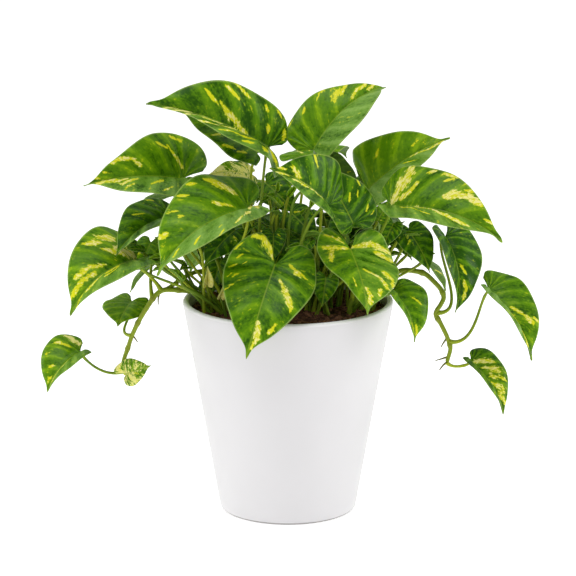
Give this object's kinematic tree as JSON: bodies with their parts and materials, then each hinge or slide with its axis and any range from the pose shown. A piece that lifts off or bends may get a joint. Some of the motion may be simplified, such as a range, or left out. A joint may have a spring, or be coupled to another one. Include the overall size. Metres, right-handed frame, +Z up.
{
  "type": "potted pothos plant",
  "caption": "Potted pothos: heart-shaped green and cream leaves on rooted stems, some trailing over the lip of a tapered round pot filled with soil",
  "frame": {"origin": "centre of the flat underside of the pot, which rests on the surface", "axes": "+Z is up; -Y is the front, towards the two leaves that hang over the lip; +X is the plant's right as seen from the front"},
  "size_m": [0.3567, 0.2251, 0.3155],
  "materials": {
    "pot": "satin",
    "soil": "matte",
    "stems": "satin",
    "leaves": "satin"
  },
  "bodies": {
    "root": {"pot": "pot", "soil": "soil", "stem_trailing_left": "stems", "stem_trailing_right": "stems", "stem_left": "stems", "stem_centre_left": "stems", "stem_centre": "stems", "stem_centre_right": "stems", "stem_right": "stems", "stem_back_left": "stems", "stem_back": "stems", "stem_back_right": "stems", "leaf_top_left": "leaves", "leaf_top_left_under": "leaves", "leaf_top_right": "leaves", "leaf_centre": "leaves", "leaf_centre_behind": "leaves", "leaf_left_upper": "leaves", "leaf_left_front": "leaves", "leaf_left_outer": "leaves", "leaf_left_middle": "leaves", "leaf_left_behind": "leaves", "leaf_vine_left_upper": "leaves", "leaf_vine_left_lower": "leaves", "leaf_vine_left_tip": "leaves", "leaf_front_left": "leaves", "leaf_front_right": "leaves", "leaf_right_upper": "leaves", "leaf_right_long": "leaves", "leaf_right_lower": "leaves", "leaf_right_rim": "leaves", "leaf_vine_right_upper": "leaves", "leaf_vine_right_lower": "leaves", "leaf_inner_right_low": "leaves", "leaf_inner_right_back": "leaves", "leaf_inner_olive": "leaves", "leaf_inner_notch": "leaves", "leaf_top_middle_behind": "leaves", "leaf_cream": "leaves", "leaf_inner_middle": "leaves", "leaf_inner_low": "leaves", "leaf_inner_left": "leaves", "leaf_inner_centre_high": "leaves", "leaf_inner_centre_right": "leaves", "leaf_inner_centre_left": "leaves", "leaf_inner_left_low": "leaves", "leaf_inner_right_mid": "leaves", "leaf_inner_centre_low": "leaves", "leaf_back_01": "leaves", "leaf_back_02": "leaves", "leaf_back_03": "leaves", "leaf_back_04": "leaves", "leaf_back_05": "leaves", "leaf_back_06": "leaves", "leaf_back_07": "leaves", "leaf_back_08": "leaves", "leaf_back_09": "leaves", "leaf_back_10": "leaves", "leaf_back_11": "leaves"}
  },
  "joints": []
}
